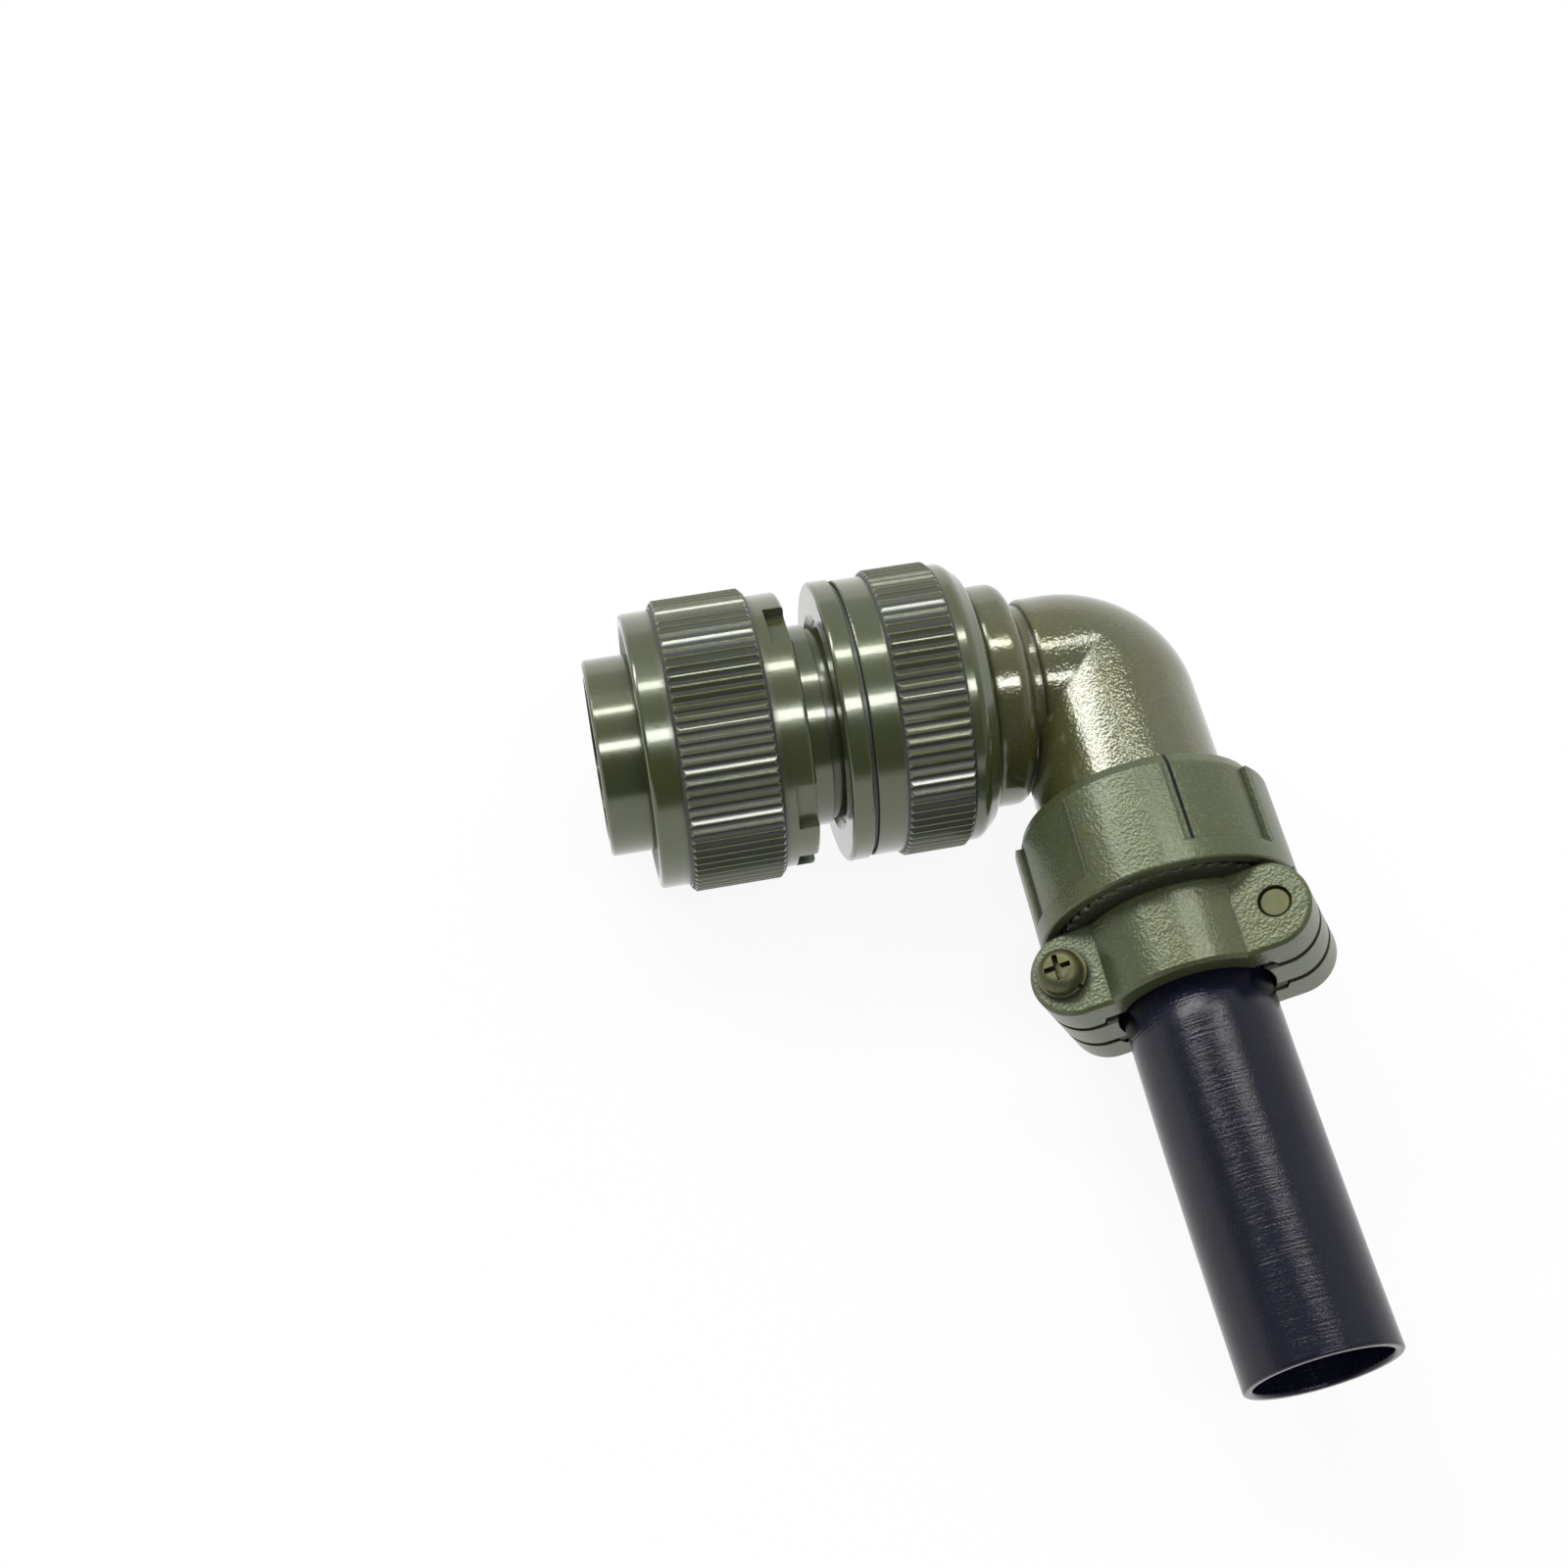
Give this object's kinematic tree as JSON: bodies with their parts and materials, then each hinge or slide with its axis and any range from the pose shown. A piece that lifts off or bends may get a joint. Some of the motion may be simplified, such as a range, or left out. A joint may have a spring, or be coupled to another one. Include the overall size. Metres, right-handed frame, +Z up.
{
  "type": "mil-spec circular connector",
  "caption": "Right-angle circular plug connector with a knurled threaded coupling nut, swivelling elbow, saddle cable clamp and rubber cable sleeve.",
  "frame": {"origin": "centre of the mating face, on the barrel's axis at its front rim", "axes": "+X runs from the mating face along the plug to the elbow, -Y is the way the cable arm leaves the elbow, +Z is up as the connector lies on its side"},
  "size_m": [0.077, 0.101, 0.0342],
  "materials": {
    "olive_plate": "turned aluminium with glossy olive-drab plating",
    "olive_casting": "die-cast aluminium with satin olive-drab plating",
    "insulator": "dark moulded insert",
    "contact_gold": "gold-plated copper alloy",
    "spring_steel": "plated spring steel",
    "zinc_screw": "yellow-olive zinc plate",
    "seal_rubber": "black seal rubber",
    "sleeve_rubber": "scuffed matte black rubber"
  },
  "bodies": {
    "plug": {"plug_shell": "olive_plate", "front_insulator": "insulator", "rear_insulator": "insulator", "insulator_ring": "spring_steel", "contact_01": "contact_gold", "contact_02": "contact_gold", "contact_03": "contact_gold", "contact_04": "contact_gold", "contact_05": "contact_gold", "contact_06": "contact_gold", "contact_07": "contact_gold", "contact_08": "contact_gold", "contact_09": "contact_gold", "contact_10": "contact_gold", "joint_gasket": "seal_rubber"},
    "floating_ring": {"nut_retaining_ring": "spring_steel"},
    "coupling": {"coupling_nut": "olive_plate"},
    "backshell": {"elbow": "olive_casting", "elbow_snap_ring": "spring_steel", "clamp_body": "olive_casting", "upper_saddle": "olive_casting", "lower_saddle": "olive_casting", "upper_clamp_screw": "zinc_screw", "lower_clamp_screw": "zinc_screw", "upper_lock_washer": "zinc_screw", "lower_lock_washer": "zinc_screw", "rubber_sleeve": "sleeve_rubber"},
    "assembly": {"assembly_nut": "olive_plate"}
  },
  "joints": [
    {"name": "nut_float", "type": "slide", "parent": "plug", "child": "floating_ring", "axis": [1, 0, 0], "range_m": [0, 0.0016]},
    {"name": "coupling_nut_spin", "type": "hinge", "parent": "floating_ring", "child": "coupling", "pos_m": [0.014, 0, 0], "axis": [1, 0, 0], "continuous": true},
    {"name": "elbow_swivel", "type": "hinge", "parent": "plug", "child": "backshell", "pos_m": [0.036, 0, 0], "axis": [1, 0, 0], "continuous": true},
    {"name": "assembly_nut_spin", "type": "hinge", "parent": "backshell", "child": "assembly", "pos_m": [0.036, 0, 0], "axis": [1, 0, 0], "continuous": true}
  ]
}
